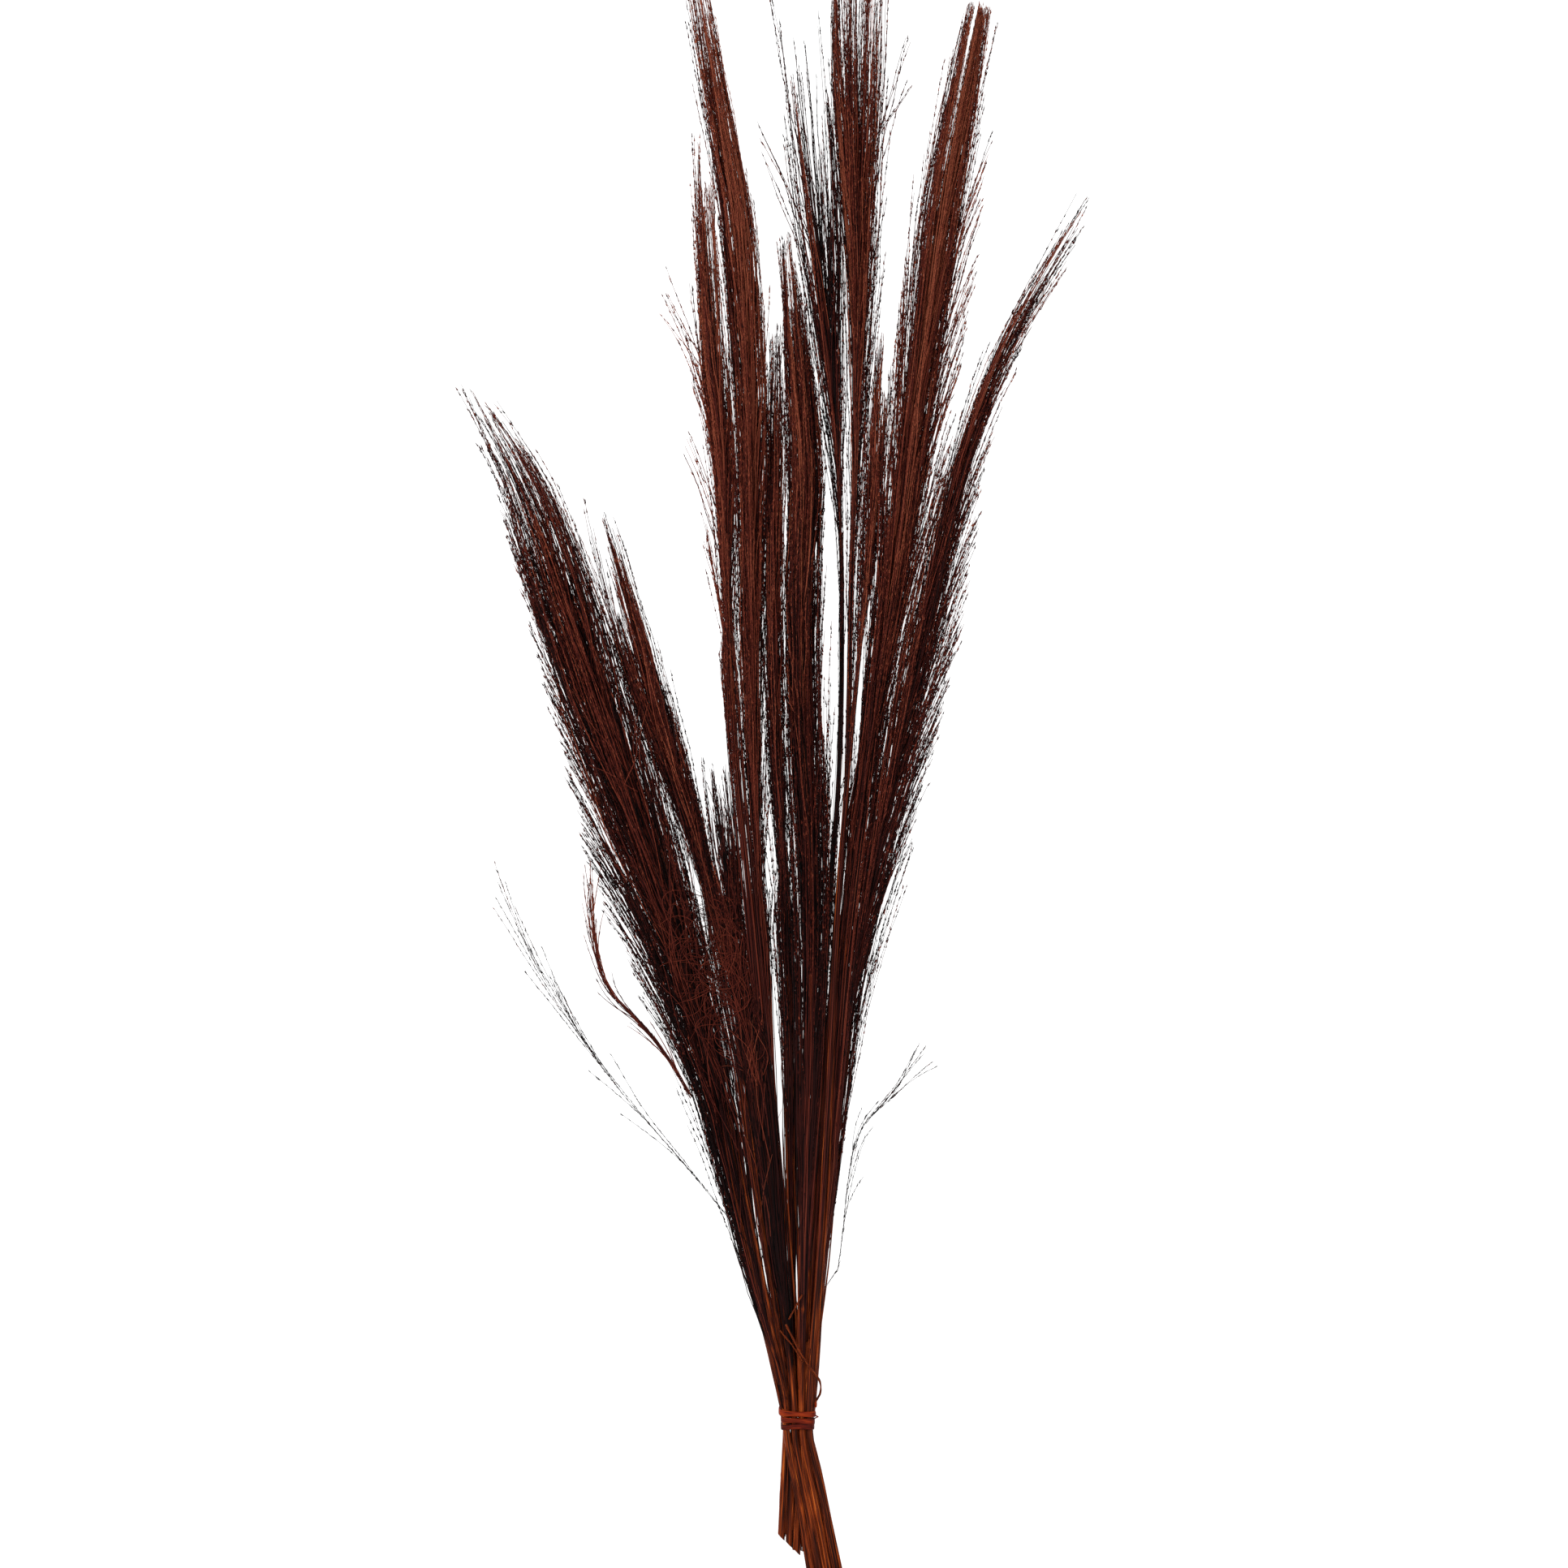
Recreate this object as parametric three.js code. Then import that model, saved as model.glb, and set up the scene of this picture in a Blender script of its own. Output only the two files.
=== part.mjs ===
// A bundle of dyed pampas grass: twelve cut culms, each a stem with a feathery plume at its head, tied
// near the feet with three turns of flat cane, and the few loose strands that stray from the bunch.
// It lies on its back on a surface at z = 0: +Y runs from the cut ends to the plumes and +Z points up.
// Millimetres.
import * as THREE from "three";

// ---- driving dimensions ----
const STEM_RADIUS = 2.4; // at the foot and under the tie
const NECK_RADIUS = 1.4; // where a stem runs into its plume
const GAP = 0.35; // between pieces that touch
const PITCH = 2 * STEM_RADIUS + GAP; // from stem to stem under the tie
const COLUMNS = 4;
const ROWS = 3;
const REST = 0.3; // how far the plumes lie above the surface at their lowest
const PLUME_NECK = 0.2; // a plume's width at its base, as a share of its greatest width
const PLUME_TIP = 0.05; // and at its tip
const SETTLES_BY = 0.3; // the share of a plume's length over which it comes down to the surface

const TIE_TURNS = 3;
const TIE_WIDTH = 4.1; // of the cane strip, along the bundle
const TIE_THICKNESS = 2.0;
const TIE_PITCH = 4.4;
const TIE_TILT = 0.07; // the turns climb a little towards +X
const GRIPPED = 8; // the stems run straight this far to either side of the middle of the tie

const STEM_SIDES = 8;
const PLUME_SIDES = 12;
const STRAND_SIDES = 6;
const TIE_SIDES = 8;
const STEM_STEP = 22; // mean length of one ring-to-ring step along a stem
const FOOT_STEPS = 1.5; // how strongly the steps shorten towards the foot, where the stems cross
const PLUME_STEP = 40;
const STRAND_STEP = 14;

const DOWN = TIE_THICKNESS + GAP + STEM_RADIUS; // height of the lowest row under the tie
const columnX = (column) => (column - (COLUMNS - 1) / 2) * PITCH;
const rowZ = (row) => DOWN + row * PITCH;

const COLOURS = {
  stem: { color: "#8c3d14", roughness: 0.55 },
  plume: { color: "#4a2015", roughness: 0.95 },
  strand: { color: "#5c2716", roughness: 0.85 },
  tie: { color: "#8e3216", roughness: 0.6 },
};

const bundle = new THREE.Group();

function add(name, kind, geometry) {
  const mesh = new THREE.Mesh(geometry, new THREE.MeshStandardMaterial({ ...COLOURS[kind], metalness: 0 }));
  mesh.name = name;
  bundle.add(mesh);
}

// A closed tube: a cylinder's rings are set one by one at the places that place(t) gives, for t from 0 to 1.
// Each place is a centre and the ring's two half axes, as vectors.
function sweep(steps, sides, place) {
  const tube = new THREE.CylinderGeometry(1, 1, 1, sides, steps);
  const spots = tube.attributes.position;
  const spot = new THREE.Vector3();
  for (let i = 0; i < spots.count; i += 1) {
    spot.fromBufferAttribute(spots, i);
    const { centre, across, up } = place(spot.y + 0.5);
    const moved = centre.clone().addScaledVector(across, spot.x).addScaledVector(up, spot.z);
    spots.setXYZ(i, moved.x, moved.y, moved.z);
  }
  tube.computeVertexNormals();
  return tube;
}

// The level direction square to a line, and the one square to both, for rings that stand across the line.
function squareTo(tangent) {
  const across = new THREE.Vector3(tangent.y, -tangent.x, 0).normalize();
  return { across, up: new THREE.Vector3().crossVectors(across, tangent) };
}

// How far along a curve, from 0 to 1, it first reaches a height up the bundle.
function reaches(curve, y) {
  let low = 0;
  let high = 1;
  while (high - low > 1e-5) {
    const middle = (low + high) / 2;
    if (curve.getPointAt(middle).y < y) low = middle;
    else high = middle;
  }
  return high;
}

// A plume's girth from base to tip as a share of its greatest: it swells to `widest`, then tapers.
function swell(t, widest, tip) {
  if (t < widest) {
    return PLUME_NECK + (1 - PLUME_NECK) * Math.sin((Math.PI / 2) * (t / widest)) ** 1.2;
  }
  return tip + (1 - tip) * Math.cos((Math.PI / 2) * ((t - widest) / (1 - widest))) ** 0.9;
}

// ---- culms ----
// slot: column and row under the tie. foot: the cut end. cut: slope of the cut across the stem.
// line: places up the bundle, in x and y, and the last is the plume's tip. head: y at which the plume
// starts. neck: height of the stem there. wide, thick: the plume's greatest half width and half thickness.
const culms = [
  {
    name: "far_left", slot: [0, 2], foot: [12.4, -119, 13], cut: -0.5,
    line: [
      [-26, 80], [-37, 135], [-54, 217], [-87, 338], [-118, 437], [-153, 542], [-184, 630], [-222, 698],
    ],
    head: 130, neck: 11, wide: 24, thick: 12, widest: 0.6,
  },
  {
    name: "left", slot: [0, 1], foot: [-11.2, -81.5, 8.2], cut: -0.94,
    line: [[-18.5, 110], [-31, 217], [-46, 300], [-67, 382], [-100, 487], [-122, 564], [-137, 618]],
    head: 340, neck: 6.5, wide: 9, thick: 8.5, widest: 0.55,
  },
  {
    name: "small_left", slot: [1, 2], foot: [18, -122, 12.2], cut: -0.6,
    line: [[-13.5, 110], [-25.5, 217], [-38, 300], [-48, 370], [-57, 447]],
    head: 310, neck: 8.5, wide: 7.5, thick: 7, widest: 0.5,
  },
  {
    name: "tall_left", slot: [0, 0], foot: [-10.6, -80, 2.8], cut: -0.9,
    line: [
      [-14, 110], [-22.5, 260], [-29, 420], [-31, 560], [-32, 680], [-42, 822], [-54, 888], [-75, 1012],
    ],
    head: 350, neck: 4, wide: 10, thick: 10.5, widest: 0.55,
  },
  {
    name: "inner_left", slot: [1, 1], foot: [-5.9, -86.5, 8.2], cut: -0.94,
    line: [
      [-10, 110], [-18, 200], [-30, 330], [-40, 430], [-47, 540], [-50, 652], [-58, 740], [-64, 868],
    ],
    head: 520, neck: 6, wide: 6, thick: 8, widest: 0.5,
  },
  {
    name: "centre_left", slot: [1, 0], foot: [-5.2, -84, 2.8], cut: -0.9,
    line: [[-4, 140], [-5, 270], [-10, 382], [-14, 465], [-15.5, 575], [-14.5, 652], [-13, 742]],
    head: 300, neck: 3.5, wide: 6, thick: 9, widest: 0.5,
  },
  {
    name: "centre", slot: [2, 2], foot: [23.6, -120, 11.2], cut: -0.4,
    line: [[5, 150], [8.5, 300], [8, 382], [4, 465], [3, 560], [5, 640], [1, 700], [-8, 802]],
    head: 300, neck: 9, wide: 11, thick: 11, widest: 0.62,
  },
  {
    name: "fork_left", slot: [2, 0], foot: [0.4, -90, 2.8], cut: -0.8,
    line: [
      [7.5, 100], [13.5, 200], [22, 355], [28, 437], [30, 560], [26.5, 660], [18, 767], [8, 877], [-1, 966],
    ],
    head: 600, neck: 3.5, wide: 9.5, thick: 9, widest: 0.7, tip: 0.15,
  },
  {
    name: "fork_right", slot: [2, 1], foot: [-0.6, -91.5, 8.2], cut: -0.94,
    line: [
      [10, 100], [16.5, 200], [27.5, 355], [33.5, 437], [36, 560], [39, 652], [41.5, 767], [41, 860],
      [43, 1014],
    ],
    head: 600, neck: 4.5, wide: 15, thick: 11.5, widest: 0.75,
  },
  {
    name: "small_right", slot: [3, 2], foot: [29, -118, 10], cut: -0.3,
    line: [[14, 100], [20, 200], [27, 345], [34, 437], [42.5, 525], [48, 580], [52, 630], [60, 742]],
    head: 530, neck: 9.5, wide: 4.4, thick: 6.5, widest: 0.4,
  },
  {
    name: "tall_right", slot: [3, 1], foot: [5.2, -91, 8.2], cut: 0,
    line: [
      [15.4, 100], [24.5, 220], [34, 340], [46, 437], [58, 520], [66, 575], [75, 652], [86, 740], [97, 822],
      [122, 957],
    ],
    head: 340, neck: 6.5, wide: 15.5, thick: 12, widest: 0.62, tip: 0.5,
  },
  {
    name: "far_right", slot: [3, 0], foot: [6.2, -88, 2.8], cut: -0.3,
    line: [
      [17.5, 100], [29, 210], [36, 280], [48, 355], [64, 437], [81, 520], [99, 602], [115, 660], [142, 730],
      [196, 824],
    ],
    head: 270, neck: 3.5, wide: 12, thick: 10, widest: 0.6,
  },
];

for (const culm of culms) {
  const foot = new THREE.Vector3(...culm.foot);
  const below = new THREE.Vector3(columnX(culm.slot[0]), -GRIPPED, rowZ(culm.slot[1]));
  const above = below.clone().setY(GRIPPED);
  const heights = culm.line.map(([x, y]) => {
    const risen = Math.min(y / culm.head, 1);
    return new THREE.Vector3(x, y, THREE.MathUtils.lerp(above.z, culm.neck, risen));
  });
  const places = [foot, foot.clone().lerp(below, 0.6), below, above, ...heights];
  const path = new THREE.CatmullRomCurve3(places, false, "centripetal");
  const length = path.getLength();
  const neck = reaches(path, culm.head);

  const bare = neck - GAP / length;
  add(`stem_${culm.name}`, "stem", sweep(Math.ceil((bare * length) / STEM_STEP), STEM_SIDES, (t) => {
    const along = bare * t ** FOOT_STEPS;
    const tangent = path.getTangentAt(along);
    const { across, up } = squareTo(tangent);
    const radius = THREE.MathUtils.lerp(STEM_RADIUS, NECK_RADIUS, THREE.MathUtils.smoothstep(t, 0.2, 1));
    across.multiplyScalar(radius);
    if (t === 0) across.addScaledVector(tangent, culm.cut * radius);
    return { centre: path.getPointAt(along), across, up: up.multiplyScalar(radius) };
  }));

  const plumeLength = (1 - neck) * length;
  add(`plume_${culm.name}`, "plume", sweep(Math.ceil(plumeLength / PLUME_STEP), PLUME_SIDES, (t) => {
    const along = neck + t * (1 - neck);
    const tangent = path.getTangentAt(along).setZ(0).normalize();
    const { across, up } = squareTo(tangent);
    const girth = swell(t, culm.widest, culm.tip ?? PLUME_TIP);
    const centre = path.getPointAt(along);
    const lying = culm.thick * girth + REST;
    const settled = THREE.MathUtils.smoothstep(t, 0, SETTLES_BY);
    centre.z = Math.max(lying, THREE.MathUtils.lerp(culm.neck, lying, settled));
    return {
      centre,
      across: across.multiplyScalar(culm.wide * girth),
      up: up.multiplyScalar(culm.thick * girth),
    };
  }));
}

// ---- tie ----
// The cane follows the outline of the stems it holds: a rectangle with round corners, wound as a helix.
const corner = STEM_RADIUS + GAP + TIE_THICKNESS / 2;
const flatX = ((COLUMNS - 1) / 2) * PITCH;
const flatZ = ((ROWS - 1) / 2) * PITCH;
const middleZ = rowZ((ROWS - 1) / 2);
const outline = new THREE.Path();
outline.absarc(flatX, flatZ, corner, 0, Math.PI / 2);
outline.absarc(-flatX, flatZ, corner, Math.PI / 2, Math.PI);
outline.absarc(-flatX, -flatZ, corner, Math.PI, 1.5 * Math.PI);
outline.absarc(flatX, -flatZ, corner, 1.5 * Math.PI, 2 * Math.PI);
outline.closePath();

add("tie_wrap", "tie", sweep(TIE_TURNS * 24, TIE_SIDES, (t) => {
  const turned = t * TIE_TURNS;
  const at = outline.getPointAt(turned % 1);
  const ahead = outline.getTangentAt(turned % 1);
  const y = (turned - TIE_TURNS / 2) * TIE_PITCH + TIE_TILT * at.x;
  return {
    centre: new THREE.Vector3(at.x, y, middleZ + at.y),
    across: new THREE.Vector3(0, TIE_WIDTH / 2, 0),
    up: new THREE.Vector3(ahead.y, 0, -ahead.x).multiplyScalar(TIE_THICKNESS / 2),
  };
}));

// ---- loose strands ----
// Thin strands that lie over or beside the bunch. Each is a list of places and its radius from root to tip.
const strands = [
  {
    name: "tie_end", kind: "tie", radii: [1.3, 0.9],
    line: [[15.2, -2, 14], [15.6, 1.5, 16], [15, 4.5, 17.5]],
  },
  {
    name: "wisp_left", kind: "strand", radii: [1.0, 0.6],
    line: [[-26, 108, 18], [-41, 128, 16.5], [-74, 168, 5], [-117, 217, 3], [-161, 278, 2.5], [-222, 385, 2]],
  },
  {
    name: "wisp_right", kind: "strand", radii: [1.0, 0.6],
    line: [
      [26, 96, 12], [29, 113, 10], [35, 162, 6], [44, 195, 4], [64, 217, 3], [81, 238, 2.5], [100, 258, 2],
    ],
  },
  {
    name: "curl_left", kind: "strand", radii: [1.6, 0.8],
    line: [[-72, 216, 4], [-90, 246, 4], [-108, 268, 4], [-128, 289, 4], [-139, 327, 4], [-142, 384, 3]],
  },
  {
    name: "tendril_long", kind: "strand", radii: [0.8, 0.7],
    line: [[-8, 64, 18.6], [4, 41, 19.4], [12.5, 29, 18], [16, 23, 15.5], [15, 16, 12]],
  },
  {
    name: "tendril_short", kind: "strand", radii: [0.6, 0.5],
    line: [[-12, 60, 18.8], [-3, 49, 19.2], [3.5, 38.5, 19.4]],
  },
  {
    name: "twig", kind: "strand", radii: [0.7, 0.5],
    line: [[-6, 67.5, 18.4], [-2, 75, 18], [3, 84, 17.6]],
  },
];

for (const { name, kind, radii, line } of strands) {
  const places = line.map((place) => new THREE.Vector3(...place));
  const path = new THREE.CatmullRomCurve3(places, false, "centripetal");
  add(name, kind, sweep(Math.max(4, Math.ceil(path.getLength() / STRAND_STEP)), STRAND_SIDES, (t) => {
    const { across, up } = squareTo(path.getTangentAt(t));
    const radius = THREE.MathUtils.lerp(radii[0], radii[1], t);
    across.multiplyScalar(radius);
    up.multiplyScalar(radius);
    return { centre: path.getPointAt(t), across, up };
  }));
}

// The origin is the middle of the bundle's box, at its foot on the surface.
const box = new THREE.Box3().setFromObject(bundle);
const middle = box.getCenter(new THREE.Vector3());
bundle.position.set(-middle.x, -middle.y, -box.min.z);

export default bundle;
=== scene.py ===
import math
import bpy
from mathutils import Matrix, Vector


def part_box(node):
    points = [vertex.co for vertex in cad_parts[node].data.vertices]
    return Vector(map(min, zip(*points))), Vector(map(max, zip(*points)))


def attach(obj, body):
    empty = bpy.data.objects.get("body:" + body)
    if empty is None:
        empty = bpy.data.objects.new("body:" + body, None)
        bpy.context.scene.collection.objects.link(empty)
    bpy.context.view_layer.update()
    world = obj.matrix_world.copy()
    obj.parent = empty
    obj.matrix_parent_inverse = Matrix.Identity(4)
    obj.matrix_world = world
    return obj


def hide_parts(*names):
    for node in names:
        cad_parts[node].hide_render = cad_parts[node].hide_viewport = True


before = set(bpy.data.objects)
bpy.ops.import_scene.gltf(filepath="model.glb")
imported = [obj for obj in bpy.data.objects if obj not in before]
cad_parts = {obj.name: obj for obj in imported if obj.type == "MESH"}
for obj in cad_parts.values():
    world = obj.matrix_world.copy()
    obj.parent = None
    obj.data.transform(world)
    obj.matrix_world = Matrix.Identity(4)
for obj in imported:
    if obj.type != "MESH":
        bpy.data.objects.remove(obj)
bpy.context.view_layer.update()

from types import SimpleNamespace

import bpy
import numpy as np

# A bundle of dyed pampas grass, laid on its back: twelve stems held by three turns of cane, each with a
# plume of long fine branches, and a few strands that have strayed. Metres, +Y towards the plumes, +Z up.
MM = 0.001

# ---- the line of each culm ----
# A culm is one plant, from its cut foot through the tie to the tip of its plume. The designed solids are
# swept, so the middles of their rings give the line that the finished stem and plume follow.

LINE_STEP = 5 * MM
HEADING_REACH = 8 * MM


def rings_of(node):
    """The rings of corners that a swept solid was made of, from one end to the other."""
    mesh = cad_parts[node].data
    mesh.calc_loop_triangles()
    corners = np.round([tuple(v.co) for v in mesh.vertices], 6)
    corners, own = np.unique(corners, axis=0, return_inverse=True)
    own = own.reshape(-1)
    beside = [set() for _ in corners]
    for face in mesh.loop_triangles:
        a, b, c = (int(own[i]) for i in face.vertices)
        beside[a] |= {b, c}
        beside[b] |= {a, c}
        beside[c] |= {a, b}

    def outwards(start):
        found, seen, front = [], {start}, {start}
        while front:
            found.append(sorted(front))
            front = set().union(*(beside[i] for i in front)) - seen
            seen |= front
        return found

    # Only the middle of an end cap lies exactly amid its neighbours.
    off_middle = [
        np.linalg.norm(corners[list(near)].mean(0) - corner) for corner, near in zip(corners, beside)
    ]
    return [corners[ring] for ring in outwards(int(np.argmin(off_middle)))[1:-1]]


def smooth_line(places, step=LINE_STEP):
    """A smooth line through places, with a point about every step."""
    places = np.asarray(places, float)
    before, after = 2 * places[0] - places[1], 2 * places[-1] - places[-2]
    held = np.vstack([before, places, after])
    pieces = []
    for a, b, c, d in zip(held, held[1:], held[2:], held[3:]):
        count = max(1, math.ceil(np.linalg.norm(c - b) / step))
        t = np.arange(count)[:, None] / count
        bend = 2 * a - 5 * b + 4 * c - d
        turn = 3 * b - a - 3 * c + d
        pieces.append(0.5 * (2 * b + (c - a) * t + bend * t**2 + turn * t**3))
    return np.vstack([*pieces, places[-1:]])


class Line:
    """A line that strands follow, with distances along it in metres."""

    def __init__(self, places, zero_at=0):
        self.places = smooth_line(places)
        steps = np.linalg.norm(np.diff(self.places, axis=0), axis=1)
        self.along = np.concatenate([[0], np.cumsum(steps)])
        self.along -= np.interp(zero_at, self.places[:, 1], self.along) if zero_at else 0
        self.start, self.end = self.along[0], self.along[-1]

    def at(self, along):
        ends = np.clip(along, self.start, self.end)
        held = np.stack([np.interp(ends, self.along, self.places[:, i]) for i in range(3)], -1)
        return held + (along - ends)[..., None] * self.heading(ends)

    def heading(self, along):
        back = np.clip(along - HEADING_REACH, self.start, self.end)
        on = np.clip(along + HEADING_REACH, self.start, self.end)
        ends = [
            np.stack([np.interp(end, self.along, self.places[:, i]) for i in range(3)], -1)
            for end in (back, on)
        ]
        way = ends[1] - ends[0]
        return way / np.linalg.norm(way, axis=-1, keepdims=True)


def unit(ways):
    return ways / np.maximum(np.linalg.norm(ways, axis=-1, keepdims=True), 1e-12)


tie_low, tie_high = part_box("tie_wrap")
tie_middle = (tie_low + tie_high) / 2
culm_names = sorted(name[5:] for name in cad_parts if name.startswith("stem_"))
culms = {}
for name in culm_names:
    stem, plume = rings_of(f"stem_{name}"), rings_of(f"plume_{name}")
    stem.sort(key=lambda ring: ring[:, 1].mean())
    plume.sort(key=lambda ring: ring[:, 1].mean())
    middles = [ring.mean(0) for ring in stem + plume[1:]]
    line = Line(middles, tie_middle.y)
    head = float(np.interp(plume[0][:, 1].mean(), line.places[:, 1], line.along))
    sections = np.array([ring.mean(0)[1] for ring in plume])
    stations = np.interp(sections, line.places[:, 1], line.along)
    across = np.cross(line.heading(stations), (0, 0, 1))
    widths = [np.ptp(ring @ way) / 2 for ring, way in zip(plume, unit(across))]
    heights = [np.ptp(ring[:, 2]) / 2 for ring in plume]
    foot_radius, neck_radius = (
        np.linalg.norm(ring - ring.mean(0), axis=1).min() for ring in (stem[3], stem[-1])
    )
    culms[name] = SimpleNamespace(
        line=line, head=head, tip=line.end, foot=stem[0], foot_radius=foot_radius, neck_radius=neck_radius,
        stations=stations, widths=np.array(widths), heights=np.array(heights),
    )

# ---- stems ----
# The cut culms, woody and dyed like the plumes. Each has a joint every hand's breadth, with what is left of
# a leaf sheath above it, fine ribs all round, and a slanting cut at its foot that shows the paler pith.

STEM_SIDES = 24
STEM_RING = 5 * MM
RIB_DEPTH = 0.035
JOINT_SWELL, JOINT_REACH = 0.16, 3 * MM
SHEATH_SWELL, SHEATH_LENGTH = 0.10, 55 * MM
SHEATH_FROM = 25 * MM
FIRST_JOINT = (25 * MM, 60 * MM)
JOINT_APART = (95 * MM, 150 * MM)
# The colour map that every piece carries, and the share of it, from its foot, that the cut ends take.
BAKED_MAP = "OFBake"
CUT_SHARE = 0.06
# How much the dye of each culm leans to orange, or to black where it is less than 0, in the order of names.
STEM_WARMTH = [0.10, -0.12, 0.02, 0.10, -0.16, -0.02, -0.10, 0.06, -0.06, -0.14, 0.08, 0.12]


def taken_off(obj):
    """A finished model as arrays, to be laid many times: its corners, faces, way round and rings."""
    mesh = obj.data
    corners = np.array([tuple(v.co) for v in mesh.vertices])
    loops = np.array([loop.vertex_index for loop in mesh.loops])
    sizes = np.array([face.loop_total for face in mesh.polygons])
    around = np.arctan2(corners[loops, 1], corners[loops, 0]) / (2 * np.pi) % 1
    firsts = np.concatenate([[0], np.cumsum(sizes)[:-1]])
    for first, size in zip(firsts, sizes):
        face = around[first:first + size]
        if np.ptp(face) > 0.5:
            face[face < 0.5] += 1
    bpy.data.objects.remove(obj)
    ring = corners[:, 2].round().astype(int)
    return SimpleNamespace(corners=corners, loops=loops, sizes=sizes, around=around, ring=ring)


def drawn_tube(sides, rings):
    """A closed tube of radius 1, drawn out from a disc ring by ring, its rings a unit apart."""
    bpy.ops.object.select_all(action="DESELECT")
    bpy.ops.mesh.primitive_circle_add(vertices=sides, radius=1, fill_type="NGON")
    bpy.ops.object.mode_set(mode="EDIT")
    bpy.ops.mesh.select_all(action="SELECT")
    for _ in range(rings - 1):
        bpy.ops.mesh.extrude_region_move(TRANSFORM_OT_translate={"value": (0, 0, 1)})
    bpy.ops.mesh.select_all(action="SELECT")
    bpy.ops.mesh.normals_make_consistent(inside=False)
    bpy.ops.object.mode_set(mode="OBJECT")
    return taken_off(bpy.context.object)


def laid(tube, middles, side, lift):
    """The corners of a tube laid with each ring round its middle, with these half axes."""
    x, y, ring = tube.corners[:, 0, None], tube.corners[:, 1, None], tube.ring
    return middles[:, ring] + x * side[:, ring] + y * lift[:, ring]


def squares_to(ways):
    """For each way, the level direction square to it and the direction square to both."""
    side = unit(np.cross(ways, (0, 0, 1)))
    return side, np.cross(side, ways)


def made_piece(name, batches, finish, stands_for=()):
    """One piece from batches of laid models, each with its corners and its places on the colour map."""
    corners, loops, sizes, spots, count = [], [], [], [], 0
    for model, places, on_map in batches:
        starts = count + np.arange(len(places))[:, None] * len(model.corners)
        corners.append(places.reshape(-1, 3))
        loops.append((model.loops + starts).ravel())
        sizes.append(np.tile(model.sizes, len(places)))
        spots.append(on_map.reshape(-1, 2))
        count += len(places) * len(model.corners)
    corners, loops, sizes = np.concatenate(corners), np.concatenate(loops), np.concatenate(sizes)
    mesh = bpy.data.meshes.new(name)
    mesh.vertices.add(len(corners))
    mesh.vertices.foreach_set("co", corners.astype(np.float32).ravel())
    mesh.loops.add(len(loops))
    mesh.loops.foreach_set("vertex_index", loops.astype(np.int32))
    mesh.polygons.add(len(sizes))
    starts = np.concatenate([[0], np.cumsum(sizes)[:-1]])
    mesh.polygons.foreach_set("loop_start", starts.astype(np.int32))
    mesh.uv_layers.new(name=BAKED_MAP)
    mesh.uv_layers[BAKED_MAP].uv.foreach_set("vector", np.concatenate(spots).astype(np.float32).ravel())
    mesh.update(calc_edges=True)
    mesh.polygons.foreach_set("use_smooth", np.ones(len(sizes), bool))
    mesh.materials.append(finish)
    piece = bpy.data.objects.new(name, mesh)
    bpy.context.scene.collection.objects.link(piece)
    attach(piece, "root")
    if stands_for:
        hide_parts(*stands_for)
    return piece


class Shade:
    """A socket of a material's nodes. A sum written with it adds the Math nodes that work it out."""

    def __init__(self, socket):
        self.socket = socket

    def node(self, kind, settings=None, inputs=None, output=0):
        made = self.socket.id_data.nodes.new(kind)
        for name, value in (settings or {}).items():
            if name == "stops":
                ramp = made.color_ramp.elements
                while len(ramp) < len(value):
                    ramp.new(1)
                for stop, (place, colour) in zip(ramp, value):
                    stop.position, stop.color = place, (*colour, 1)
            else:
                setattr(made, name, value)
        for name, value in (inputs or {}).items():
            if isinstance(value, Shade):
                self.socket.id_data.links.new(value.socket, made.inputs[name])
            else:
                made.inputs[name].default_value = value
        return Shade(made.outputs[output])

    def maths(self, operation, *values):
        return self.node("ShaderNodeMath", {"operation": operation}, dict(enumerate(values)))

    def __add__(self, other):
        return self.maths("ADD", self, other)

    def __sub__(self, other):
        return self.maths("SUBTRACT", self, other)

    def __rsub__(self, other):
        return self.maths("SUBTRACT", other, self)

    def __mul__(self, other):
        return self.maths("MULTIPLY", self, other)

    __radd__ = __add__
    __rmul__ = __mul__


def new_finish(name, **even):
    """A material and its shader, with the numbers that are the same all over set on it."""
    finish = bpy.data.materials.new(name)
    finish.use_nodes = True
    shader = finish.node_tree.nodes["Principled BSDF"]
    for socket, value in even.items():
        shader.inputs[socket.replace("_", " ")].default_value = value
    return finish, shader


def feed(shader, **sockets):
    for name, shade in sockets.items():
        shader.id_data.links.new(shade.socket, shader.inputs[name.replace("_", " ")])


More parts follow.
